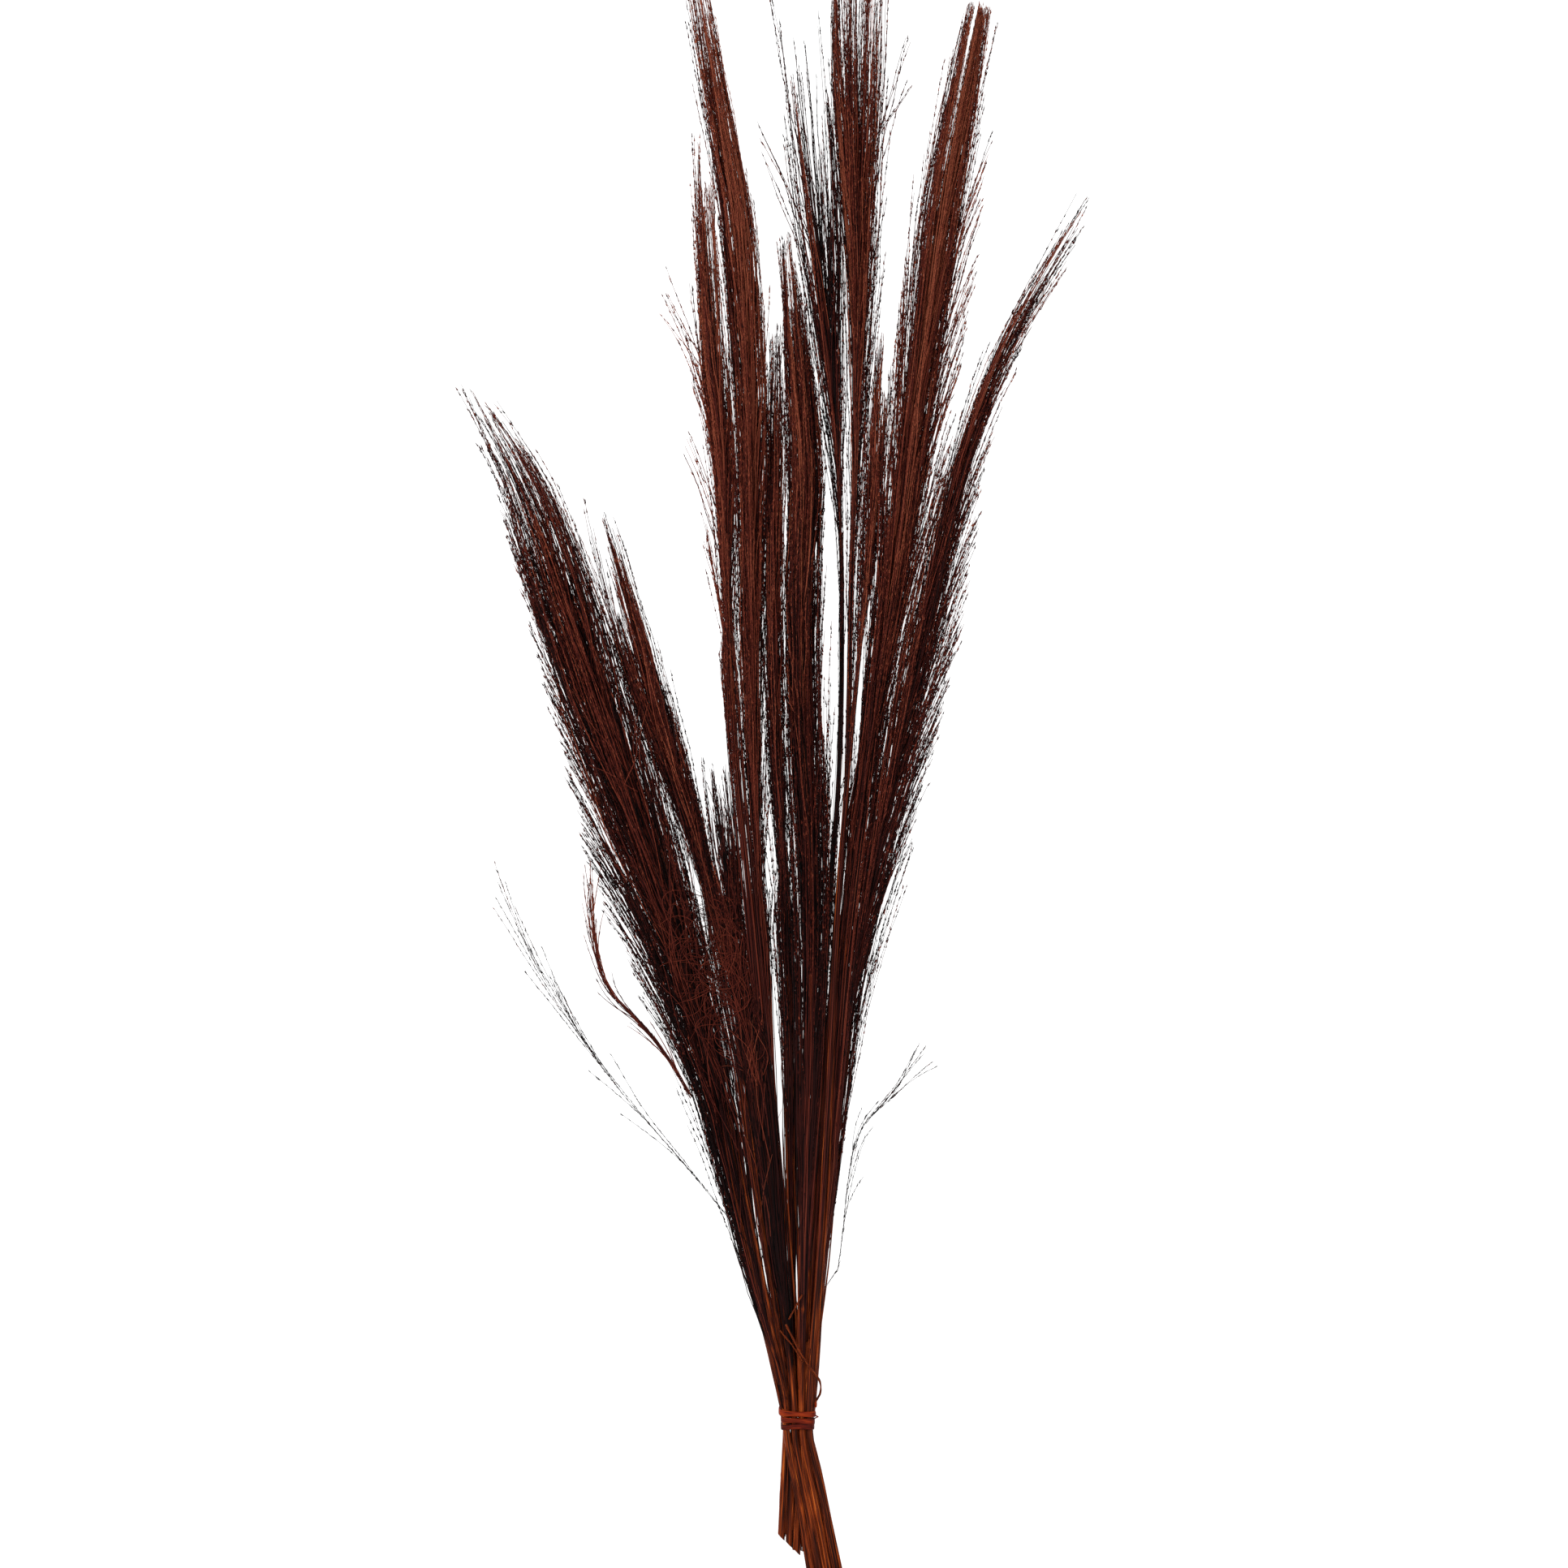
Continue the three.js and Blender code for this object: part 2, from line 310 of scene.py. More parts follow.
def stem_finish(name, seed, warmth):
    """Dyed wood: fine fibres and wide blotches that run along it, from near black to orange."""
    finish, shader = new_finish(name, Specular_IOR_Level=0.06)
    start = Shade(shader.outputs[0])
    spot = start.node("ShaderNodeUVMap", {"uv_map": BAKED_MAP})
    split = {"inputs": {"Vector": spot}}
    around = start.node("ShaderNodeSeparateXYZ", **split) * (2 * math.pi)
    along = start.node("ShaderNodeSeparateXYZ", output=1, **split)
    east, north = start.maths("COSINE", around), start.maths("SINE", around)

    def grain(fine, long, detail=4.0):
        spread = {"X": east * fine, "Y": north * fine, "Z": along * long + seed}
        turned = start.node("ShaderNodeCombineXYZ", inputs=spread)
        return start.node("ShaderNodeTexNoise", inputs={"Vector": turned, "Scale": 1.0, "Detail": detail})

    fibres = grain(5.5, 14)
    blotches = grain(0.9, 16, 2.0)
    ribs = grain(9.0, 5.0)
    tone = fibres * 2.2 + blotches * 1.1 + ribs * 0.6 - (1.52 - warmth)
    colour = tone.node(
        "ShaderNodeValToRGB",
        {"stops": [
            (0.0, (0.010, 0.0030, 0.0024)),
            (0.28, (0.046, 0.0088, 0.0038)),
            (0.52, (0.145, 0.0215, 0.0054)),
            (0.76, (0.350, 0.0570, 0.0085)),
            (1.0, (0.620, 0.1500, 0.0240)),
        ]},
        {"Fac": tone},
    )
    relief = {"Strength": 0.35, "Distance": 0.4 * MM, "Height": fibres + ribs}
    bump = tone.node("ShaderNodeBump", inputs=relief)
    feed(shader, Base_Color=colour, Roughness=0.62 - fibres * 0.25, Normal=bump)
    return finish


def pith_finish():
    """The pale pith of a cut end, full of pores."""
    finish, shader = new_finish("pale_pith", Roughness=0.85, Specular_IOR_Level=0.2)
    start = Shade(shader.outputs[0])
    place = start.node("ShaderNodeTexCoord", output=3)
    pores = start.node("ShaderNodeTexVoronoi", inputs={"Vector": place, "Scale": 2600.0})
    colour = pores.node(
        "ShaderNodeValToRGB",
        {"stops": [
            (0.0, (0.16, 0.045, 0.014)),
            (0.45, (0.34, 0.13, 0.045)),
            (1.0, (0.46, 0.21, 0.085)),
        ]},
        {"Fac": pores},
    )
    feed(shader, Base_Color=colour)
    return finish


pith = pith_finish()


def woody_piece(name, tube, places, finish, node=None):
    """A woody tube with both its ends cut, which show the pith."""
    sides, share = tube.sizes.max(), tube.ring[tube.loops] / tube.ring.max()
    on_map = np.stack([np.minimum(tube.around, 1), CUT_SHARE + 0.01 + (0.99 - CUT_SHARE) * share], -1)
    on_cap = np.repeat(tube.sizes == sides, tube.sizes)
    on_map[on_cap] = (0.5, CUT_SHARE / 2) + tube.corners[tube.loops[on_cap], :2] * (0.4, CUT_SHARE * 0.45)
    on_map = np.broadcast_to(on_map, (len(places), *on_map.shape))
    piece = made_piece(name, [(tube, places, on_map)], finish, [node] if node else ())
    piece.data.materials.append(pith)
    for polygon in piece.data.polygons:
        if polygon.loop_total == sides:
            polygon.material_index = 1
            polygon.use_smooth = False


rng = np.random.default_rng(41)
for number, (name, culm) in enumerate(culms.items()):
    rings = math.ceil((culm.head - culm.line.start) / STEM_RING)
    tube = drawn_tube(STEM_SIDES, rings)
    along = np.linspace(culm.line.start, culm.head, rings)[None]
    radius = np.interp(along, [0, culm.head], [culm.foot_radius, culm.neck_radius])
    joint = culm.line.start + rng.uniform(*FIRST_JOINT)
    while joint < culm.head:
        above = (along - joint) / SHEATH_LENGTH
        radius = radius * (1 + JOINT_SWELL * np.exp(-((along - joint) / JOINT_REACH) ** 2))
        if joint > SHEATH_FROM:
            sheath = SHEATH_SWELL * ((above > 0) & (above < 1)) * (1 - 0.5 * above)
            radius = radius * (1 + sheath)
        joint += rng.uniform(*JOINT_APART)
    middles, ways = culm.line.at(along), culm.line.heading(along)
    side, lift = squares_to(ways)
    places = laid(tube, middles, side * radius[..., None], lift * radius[..., None])
    turns = np.arctan2(tube.corners[:, 1], tube.corners[:, 0]) / (2 * np.pi)
    sector = np.round(turns * STEM_SIDES).astype(int)
    ribbed = 1 - RIB_DEPTH * (sector % 2)
    places[0] = middles[0][tube.ring] + (places[0] - middles[0][tube.ring]) * ribbed[:, None]
    # The foot is cut flat, aslant: its ring slides along the stem onto the plane of the cut.
    cut = culm.foot - culm.foot.mean(0)
    slant = np.linalg.svd(cut)[2][-1]
    foot = np.flatnonzero(tube.ring == 0)
    way = ways[0, 0]
    places[0, foot] -= ((places[0, foot] - middles[0, 0]) @ slant / (way @ slant))[:, None] * way
    finish = stem_finish(f"dyed_stem_{name}", 7.3 * number, STEM_WARMTH[number])
    woody_piece(f"stalk_{name}", tube, places, finish, f"stem_{name}")

# ---- leaf strips ----
# What is left of the leaves: thin stripped midribs beside every culm, cut off with it at the foot, which run
# up through the tie and end in a point. They fill the bundle between the culms.

STRIPS_EACH = 5
STRIP_RINGS = 30
STRIP_RADIUS = 1.05 * MM
STRIP_FLATNESS = 0.7
STRIP_TIPS = (70 * MM, 260 * MM)
STRIP_SIDEWAYS = 3.4 * MM
# Within this distance of the tie the strips are pressed against their culm.
TIE_HOLDS = 22 * MM


def eased(t):
    """From 0 to 1 as t does, starting and ending gently."""
    t = np.clip(t, 0, 1)
    return t * t * (3 - 2 * t)


def strip_laid(middles, radius):
    """A flat strip along its middles."""
    side, lift = squares_to(unit(np.gradient(middles, axis=1)))
    return laid(strip, middles, side * radius[..., None], lift * STRIP_FLATNESS * radius[..., None])


strip = drawn_tube(8, STRIP_RINGS)
t = np.linspace(0, 1, STRIP_RINGS)
pointed = 1 - 0.92 * t**2.2
strips = {0: [], 1: []}
for culm in culms.values():
    for number in range(STRIPS_EACH):
        root = culm.line.start + rng.uniform(1, 14) * MM
        along = (root + (rng.uniform(*STRIP_TIPS) - root) * t)[None]
        side, lift = squares_to(culm.line.heading(along))
        held = 1 - np.exp(-(along / TIE_HOLDS) ** 2)
        aside = rng.uniform(-1, 1) * STRIP_SIDEWAYS * held + 0.5 * MM * np.sin(along * 45 + number) * held
        above = rng.uniform(0.2, 2.2) * MM * held
        radius = STRIP_RADIUS * rng.uniform(0.6, 1.2) * pointed[None]
        middles = culm.line.at(along) + aside[..., None] * side + above[..., None] * lift
        places = laid(strip, middles, side * radius[..., None], lift * STRIP_FLATNESS * radius[..., None])
        places[..., 2] = np.maximum(places[..., 2], 0.1 * MM)
        strips[number % 2].append(places)

# More of them fan out above the tie, spread evenly from its left side to its right.
FAN_STRIPS = 64
FAN_TIPS = (70 * MM, 230 * MM)
LEFT_SLOPE, RIGHT_SLOPE = -0.24, 0.08
for number in range(FAN_STRIPS):
    across = (number + rng.uniform()) / FAN_STRIPS
    rise = (t * rng.uniform(*FAN_TIPS))[None]
    half = 0.84 * (tie_high.x - tie_low.x) / 2
    left, right = -half + LEFT_SLOPE * rise, half + RIGHT_SLOPE * rise
    x = tie_middle.x + left + (right - left) * across + 0.6 * MM * np.sin(rise * 40 + number)
    off_middle = rng.uniform(-0.55, 0.55) * (tie_high.z - tie_low.z) / 2
    z = tie_middle.z + off_middle * (1 - 0.5 * eased(rise / (200 * MM)))
    middles = np.stack([x, tie_middle.y + rise, z + 0 * x], -1)
    radius = STRIP_RADIUS * rng.uniform(0.6, 1.1) * pointed[None]
    strips[number % 2].append(strip_laid(middles, radius))

# A few fill the gap between the two outermost feet on the right.
GAP_STRIPS = 9
GAP_STRIP_TIP = 50 * MM
outermost = sorted(culms.values(), key=lambda culm: culm.line.at(culm.line.start)[0])[-2:]
for number in range(GAP_STRIPS):
    inner, outer = (
        culm.line.at(culm.line.start + (GAP_STRIP_TIP - culm.line.start) * t) for culm in outermost
    )
    middles = (inner + (outer - inner) * (number + 1) / (GAP_STRIPS + 1))[None]
    middles = middles + np.array((0, 1, 0)) * rng.uniform(0, 3) * MM
    radius = STRIP_RADIUS * rng.uniform(0.9, 1.3) * (1 - 0.7 * t**3)[None]
    strips[number % 2].append(strip_laid(middles, radius))

for number, warmth in enumerate((-0.10, 0.08)):
    finish = stem_finish(f"dyed_strip_{number + 1}", 61 + number, warmth)
    woody_piece(f"leaf_strips_{number + 1}", strip, np.concatenate(strips[number]), finish)

# ---- tie ----
# A strip of split cane wound three times round the stems and tucked under itself. The cane is flat inside,
# rounded outside, and twists a little on its way round.

CANE_SIDES = 14
CANE_STEP = 1.6 * MM
CANE_HALF_THICK = 0.9 * MM
CANE_SQUARENESS = 0.6
LAST_TURN_FROM = 0.60
LAST_TURN_UP, LAST_TURN_OUT = 1.3 * MM, 1.5 * MM


def cane_finish():
    """Split cane: fibres that run along it, under a worn dye."""
    finish, shader = new_finish("split_cane", Specular_IOR_Level=0.06)
    start = Shade(shader.outputs[0])
    spot = start.node("ShaderNodeUVMap", {"uv_map": BAKED_MAP})
    split = {"inputs": {"Vector": spot}}
    around = start.node("ShaderNodeSeparateXYZ", **split)
    along = start.node("ShaderNodeSeparateXYZ", output=1, **split)

    def grain(fine, long, detail):
        turned = start.node("ShaderNodeCombineXYZ", inputs={"X": around * fine, "Y": along * long, "Z": 3.1})
        return start.node("ShaderNodeTexNoise", inputs={"Vector": turned, "Scale": 1.0, "Detail": detail})

    fibres, blotches = grain(26, 26, 3.0), grain(4, 11, 2.0)
    # The first turn wound took the dye darkest, and the later ones are worn to orange.
    tone = fibres * 1.3 + blotches * 0.8 + along * 0.45 - 0.88
    colour = tone.node(
        "ShaderNodeValToRGB",
        {"stops": [
            (0.0, (0.024, 0.0035, 0.003)),
            (0.3, (0.110, 0.0100, 0.005)),
            (0.6, (0.290, 0.0300, 0.006)),
            (1.0, (0.500, 0.0850, 0.013)),
        ]},
        {"Fac": tone},
    )
    bump = tone.node("ShaderNodeBump", inputs={"Strength": 0.5, "Distance": 0.4 * MM, "Height": fibres})
    feed(shader, Base_Color=colour, Roughness=0.6 - fibres * 0.2, Normal=bump)
    return finish


tie_rings = rings_of("tie_wrap")
if tie_rings[0][:, 1].mean() > tie_rings[-1][:, 1].mean():
    tie_rings = tie_rings[::-1]
tie_line = Line([ring.mean(0) for ring in tie_rings])
rings = math.ceil((tie_line.end - tie_line.start) / CANE_STEP)
tube = drawn_tube(CANE_SIDES, rings)
along = np.linspace(tie_line.start, tie_line.end, rings)
middles = tie_line.at(along)
away = unit((middles - np.array(tie_middle)) * (1, 0, 1))
ways = tie_line.heading(along)
outwards = unit(np.cross(ways, np.cross(away, ways)))
uneven = 0.93 + 0.08 * np.sin(along * 260) + 0.08 * np.sin(along * 97 + 2)
half_width = np.ptp(tie_rings[20][:, 1]) / 2 * uneven
half_thick = CANE_HALF_THICK * (1 + 0.10 * np.sin(along * 181 + 1))
middles[:, 1] += 0.6 * MM * np.sin(along * 63 + 1) + 0.35 * MM * np.sin(along * 150)
# The last turn lies loose above the other two and stands out at both sides.
last_turn = eased((np.linspace(0, 1, rings) - LAST_TURN_FROM) / 0.12)
middles[:, 1] += last_turn * LAST_TURN_UP
middles[:, 0] += (last_turn - 0.55) * away[:, 0] * LAST_TURN_OUT
across = unit(np.cross(outwards, ways))
crown = np.sign(tube.corners[:, :2]) * np.abs(tube.corners[:, :2]) ** CANE_SQUARENESS
shaped = SimpleNamespace(**{**vars(tube), "corners": np.column_stack([crown, tube.corners[:, 2]])})
wide, thick = across * half_width[:, None], outwards * half_thick[:, None]
places = laid(shaped, middles[None], wide[None], thick[None])
on_map = np.stack([np.minimum(tube.around, 1), 0.02 + 0.96 * tube.ring[tube.loops] / (rings - 1)], -1)
cane = cane_finish()
made_piece("cane_tie", [(tube, places, on_map[None])], cane, ["tie_wrap"])

# ---- plumes ----
# Each plume is a broom of fine branches. They leave the culm in tufts, one above the other, and each tuft
# runs on nearly side by side and ends in a point. Dry spikelets bead the free end of every branch.

BRANCH_RINGS = 12
MOST_SPIKELETS = 84
BRANCH_ROOT, BRANCH_TIP = 0.40 * MM, 0.13 * MM
CORE_RADIUS = 0.55 * MM
SPIKELET_LENGTH, SPIKELET_RADIUS = 2.9 * MM, 0.40 * MM
SPIKELET_SPACING = 3.5 * MM
FRINGE_BEAD = 1.5
FLOOR_GAP = 0.4 * MM
# How far apart on the colour map the sides of one thread lie.
ONE_THREAD = 0.004


def spikelet_model():
    """A spikelet of length 1 along Z: a closed three-sided cone that stands on its base."""
    bpy.ops.object.select_all(action="DESELECT")
    bpy.ops.mesh.primitive_cone_add(
        vertices=3, radius1=1, depth=1, location=(0, 0, 0.5), end_fill_type="NGON",
    )
    bpy.ops.object.transform_apply(location=True, rotation=True, scale=True)
    return taken_off(bpy.context.object)


branch = drawn_tube(3, BRANCH_RINGS)
spikelet = spikelet_model()


def threads_laid(model, middles, radius, tone, shares):
    """Thin tubes along rows of middles, with their tone across the colour map and their share up it."""
    side, lift = squares_to(unit(np.gradient(middles, axis=1)))
    places = laid(model, middles, side * radius[..., None], lift * radius[..., None])
    tones = tone[:, None] + ONE_THREAD * model.around
    return model, places, np.stack([tones, shares[:, model.ring[model.loops]]], -1)


def strands_of(line, along, aside, above, radius, tone, shares, bare, rng, bead=1.0):
    """Branches with their spikelets. Each row of the arrays is one branch, from its root to its tip.

    The larger the bead, the wider and fewer the spikelets."""
    side, _ = squares_to(line.heading(along))
    middles = line.at(along) + aside[..., None] * side + above[..., None] * np.array((0, 0, 1.0))
    middles[..., 2] = np.maximum(middles[..., 2], FLOOR_GAP + radius)
    runs = unit(np.gradient(middles, axis=1))
    side, lift = squares_to(runs)
    batches = [threads_laid(branch, middles, radius, tone, shares)]

    lengths = np.linalg.norm(np.diff(middles, axis=1), axis=2).sum(1) * (1 - bare)
    wanted = lengths / (MOST_SPIKELETS * SPIKELET_SPACING * bead)
    steps = (np.arange(MOST_SPIKELETS) + rng.uniform(0, 1, (len(lengths), MOST_SPIKELETS))) / MOST_SPIKELETS
    spots = bare[:, None] + (0.998 - bare[:, None]) * steps
    owner, spot = np.nonzero(rng.uniform(0, 1, spots.shape) < wanted[:, None])
    at = spots[owner, spot] * (BRANCH_RINGS - 1)
    low = np.minimum(at.astype(int), BRANCH_RINGS - 2)
    part = (at - low)[:, None]
    foot = middles[owner, low] * (1 - part) + middles[owner, low + 1] * part
    run, over, up = runs[owner, low], side[owner, low], lift[owner, low]
    turn = np.pi * (spot % 2) + rng.normal(0, 0.8, len(owner))
    out = over * np.cos(turn)[:, None] + up * np.sin(turn)[:, None]
    point = unit(run + out * rng.uniform(0.08, 0.32, len(owner))[:, None])
    long = rng.uniform(0.7, 1.3, len(owner))[:, None] * SPIKELET_LENGTH
    wide = rng.uniform(0.7, 1.2, len(owner))[:, None] * SPIKELET_RADIUS * bead
    flat = unit(np.cross(point, out))
    thin = np.cross(flat, point)
    x, y, z = (spikelet.corners[:, i, None] for i in range(3))
    seeds = foot[:, None] + x * (flat * wide)[:, None] + y * (thin * wide)[:, None]
    seeds = seeds + z * (point * long)[:, None]
    seeds[..., 2] = np.maximum(seeds[..., 2], FLOOR_GAP / 2)
    seed_tone = np.clip(tone[owner] + rng.normal(0.0, 0.20, len(owner)), 0.01, 0.98)
    seed_share = shares[owner, low] * (1 - part[:, 0]) + shares[owner, low + 1] * part[:, 0]
    heights = spikelet.corners[spikelet.loops, 2]
    tones = seed_tone[:, None] + ONE_THREAD * spikelet.around
    on_map = np.stack([tones, seed_share[:, None] + ONE_THREAD * heights], -1)
    return batches + [(spikelet, seeds, np.clip(on_map, 0, 1))]


class Plume:
    """One plume as it grows along its culm, as wide as the designed solid, or its girth if wider."""

    def __init__(self, culm, habit, rng):
        self.culm, self.habit, self.rng = culm, habit, rng
        self.widest = culm.stations[np.argmax(culm.widths)]
        self.groups = []

    def width(self, along):
        girth = np.array(self.habit.girth) * MM
        lower = np.interp(along, girth[:, 0], girth[:, 1])
        lower = np.where(along > girth[-1, 0], 0, lower)
        designed = np.interp(along, self.culm.stations, self.culm.widths, left=0)
        return np.maximum(lower, designed * self.habit.spread)

    def hold(self, along):
        """How far out a branch of the edge runs: some plumes close at their tip, others stay open."""
        held, closed = self.width(np.minimum(along, self.widest)), self.width(along)
        return held + (closed - held) * self.habit.close

    def height(self, along):
        culm = self.culm
        places = np.concatenate([[20 * MM], culm.stations])
        least = np.where(places < culm.head + 1 * MM, culm.neck_radius + 1.2 * MM, 0)
        return np.interp(along, places, np.maximum(least, np.concatenate([[0], culm.heights])))

    def add(self, count, **values):
        self.groups.append({key: np.broadcast_to(value, count) for key, value in values.items()})

    def grow_tufts(self):
        """Tufts one above the other, each a few branches that run on nearly side by side."""
        habit, rng, culm = self.habit, self.rng, self.culm
        ahead = np.linspace(culm.head, culm.tip, 80)
        count = habit.branches // habit.tufts
        for number in range(habit.tufts):
            aim = float(np.clip(habit.lean + rng.uniform(-1, 1), -1, 1))
            fits = abs(aim) * self.hold(ahead) < self.width(ahead) * 1.03 + 0.3 * MM
            limit = ahead[fits][-1] + 0.5 * habit.past
            share = ((number + rng.uniform()) / habit.tufts) ** habit.high
            end = culm.head + (limit - culm.head) * (0.25 + 0.75 * share)
            span = rng.uniform(*habit.span) * (culm.tip - culm.head) + 40 * MM
            root = max(end - span, culm.head - 40 * MM)
            tips = end - rng.beta(0.7, 2.2, count) * 0.55 * (end - root)
            dull = 0
            if habit.blunt and share > 0.58:
                # The cut top leans to the right, and its left side is thin and dark.
                left_side = number % 4 == 0
                aim = rng.uniform(-1, -0.1) if left_side else rng.uniform(0.0, 0.95)
                dull = 0.22 * left_side
                tips = culm.tip + rng.normal(0, 1.3, count) * MM
                tips = tips - rng.uniform(0, 1, count) ** 3 * 70 * MM
            roots = np.minimum(root + rng.uniform(-0.1, 0.45, count) * (end - root), tips - 50 * MM)
            layer = rng.uniform(-0.8, 1)
            stray = rng.normal(0, habit.loose, count) * MM
            start = rng.uniform(-0.35, 0.35, count)
            reach = rng.uniform(habit.span[0] + 0.1, 1.0, count) * (tips - roots)
            flare = rng.exponential(1.3, count) * MM * np.sign(aim)
            layers = layer + rng.normal(0, 0.3, count)
            # Nearly a quarter of the tufts are almost black.
            tone = habit.tone - dull + habit.glow * (share - 0.6)
            tone = tone + rng.choice((-0.26, 0.04), p=(0.24, 0.76)) + rng.normal(0, 0.10)
            self.add(
                count, root=roots, tip=tips, aim=aim, stray=stray, start=start, reach=reach, flare=flare,
                layer=layers, tone=tone + rng.normal(0, 0.18, count),
                thick=habit.stout * BRANCH_ROOT, bare=0.3,
            )

    def grow_core(self):
        """The older, stouter branches inside, which make the plume dense."""
        habit, rng, culm = self.habit, self.rng, self.culm
        count, length = habit.core, culm.tip - culm.head
        aims = np.clip(habit.lean, -0.3, 0.3) + rng.uniform(-0.72, 0.72, count)
        roots = culm.head + rng.uniform(-0.12, 0.35, count) * length
        tips = np.minimum(roots + rng.uniform(0.35, 0.7, count) * length, culm.head + 0.90 * length)
        self.add(
            count, root=roots, tip=tips, aim=aims, stray=rng.normal(0, 1, count) * MM,
            start=rng.uniform(-0.5, 0.5, count),
            reach=rng.uniform(0.3, 0.7, count) * (tips - roots), flare=0,
            # Painted shade: these inner branches are made a little darker than the plume's own tone.
            layer=rng.uniform(-1, 0.4, count), tone=habit.tone - 0.10 + rng.normal(0, 0.18, count),
            thick=CORE_RADIUS, bare=0.55,
        )

    def grow_tails(self):
        """The branches that run right down the culm into the tie."""
        habit, rng, culm = self.habit, self.rng, self.culm
        count = habit.tails
        roots = rng.uniform(4, 90, count) * MM
        tips = culm.head + rng.uniform(0.05, 0.55, count) * (culm.tip - culm.head)
        self.add(
            count, root=roots, tip=tips, aim=rng.uniform(-0.95, 0.95, count),
            stray=rng.normal(0, 0.8, count) * MM, start=rng.uniform(-0.5, 0.5, count),
            reach=rng.uniform(60, 180, count) * MM, flare=0,
            layer=rng.uniform(-0.9, 1, count), tone=habit.tone - 0.12 + rng.normal(0, 0.22, count),
            thick=habit.tail_radius * MM, bare=0.7,
        )

    def grow_fringe(self):
        """The loose branches that leave the two edges and run beside the plume, apart from it."""
        habit, rng, culm = self.habit, self.rng, self.culm
        for way, count in zip((-1, 1), habit.fringe):
            leave = culm.head + rng.uniform(-0.05, 0.88, count) * (culm.tip - culm.head)
            tips = np.minimum(leave + rng.uniform(50, 140, count) * MM, culm.tip + habit.past)
            roots = np.maximum(leave - rng.uniform(60, 190, count) * MM, 45 * MM)
            out = habit.out * (1 - 0.6 * np.clip((leave - culm.head) / (culm.tip - culm.head), 0, 1))
            self.add(
                count, root=roots, tip=tips, aim=0.80 * way, stray=rng.normal(0, 0.8, count) * MM,
                start=rng.uniform(-0.35, 0.35, count), reach=rng.uniform(60, 120, count) * MM,
                flare=way * (1 + rng.beta(1.0, 1.5, count) * out) * MM, layer=rng.uniform(-0.9, 1, count),
                tone=habit.tone - 0.20 + rng.normal(0, 0.18, count), thick=0.7 * BRANCH_ROOT, bare=0.15,
            )

    def grow_sprigs(self):
        """A few tufts that stand well off the plume."""
        habit, rng = self.habit, self.rng
        for root, tip, out, count in habit.sprigs:
            tips = (tip - rng.uniform(0, 0.5, count) * (tip - root)) * MM
            self.add(
                count, root=(root - 70) * MM + rng.uniform(0, 60, count) * MM, tip=tips,
                aim=0.8 * np.sign(out), stray=rng.normal(0, 0.9, count) * MM,
                start=0.3 * np.sign(out), reach=60 * MM,
                flare=out * MM * rng.uniform(0.8, 1.05, count), layer=rng.uniform(0, 0.6, count),
                tone=habit.tone - 0.10 + rng.normal(0, 0.14, count), thick=BRANCH_ROOT, bare=0.2,
            )

    def batches(self, *grow, bead=1.0):
        """The laid branches and spikelets of what has grown, bent to the plume's own outline."""
        rng, culm, self.groups = self.rng, self.culm, []
        for part in grow:
            part()
        grown = {
            key: np.concatenate([group[key] for group in self.groups])[:, None] for key in self.groups[0]
        }
        root, tip, aim, stray, start, reach, flare, layer, tone, thick, bare = grown.values()
        t = np.linspace(0, 1, BRANCH_RINGS)
        along = root + (tip - root) * t
        tailed = root < culm.head - 60 * MM
        closing = 1 - 0.75 * eased((along - tip + 80 * MM) / (90 * MM))
        lock = aim * self.hold(along) + stray * closing
        joined = eased((along - root) / reach)
        start = start * np.where(tailed, 1.2 * culm.foot_radius, self.width(root))
        wave = rng.uniform(0.15, 0.8, root.shape) * MM * np.sin(
            along * rng.uniform(40, 150, root.shape) + rng.uniform(0, 6.3, root.shape)
        )
        leaving = np.maximum(0, (t - 0.2) / 0.8) ** 1.5
        aside = start + (lock - start) * joined + flare * leaving + wave * eased(t * 3)
        round_off = np.sqrt(np.clip(1 - (aside / np.maximum(self.width(along), 3 * MM)) ** 2, 0.08, 1))
        layer = np.clip(layer, -0.95, 1.05)
        above = layer * self.height(along) * round_off * (0.35 + 0.65 * joined)
        on_stem = eased((culm.head - along) / (60 * MM)) * tailed
        hug = (culm.foot_radius + 0.5 * MM) * (0.55 + 0.45 * joined) * (0.75 + 0.35 * layer)
        above = above * (1 - on_stem) + on_stem * hug
        thick = thick * rng.uniform(0.65, 1.3, root.shape)
        radius = BRANCH_TIP + (thick - BRANCH_TIP) * (1 - t) ** np.where(tailed, 1.4, 0.8)
        shares = np.clip(along / (culm.tip + self.habit.past), 0, 0.995)
        # Painted shade: branches that lie higher in the plume are made lighter, and those that lie lower are
        # made darker.
        tone = np.clip(tone + 0.15 * layer, 0.01, 0.98)[:, 0]
        return strands_of(culm.line, along, aside, above, radius, tone, shares, bare[:, 0], rng, bead)


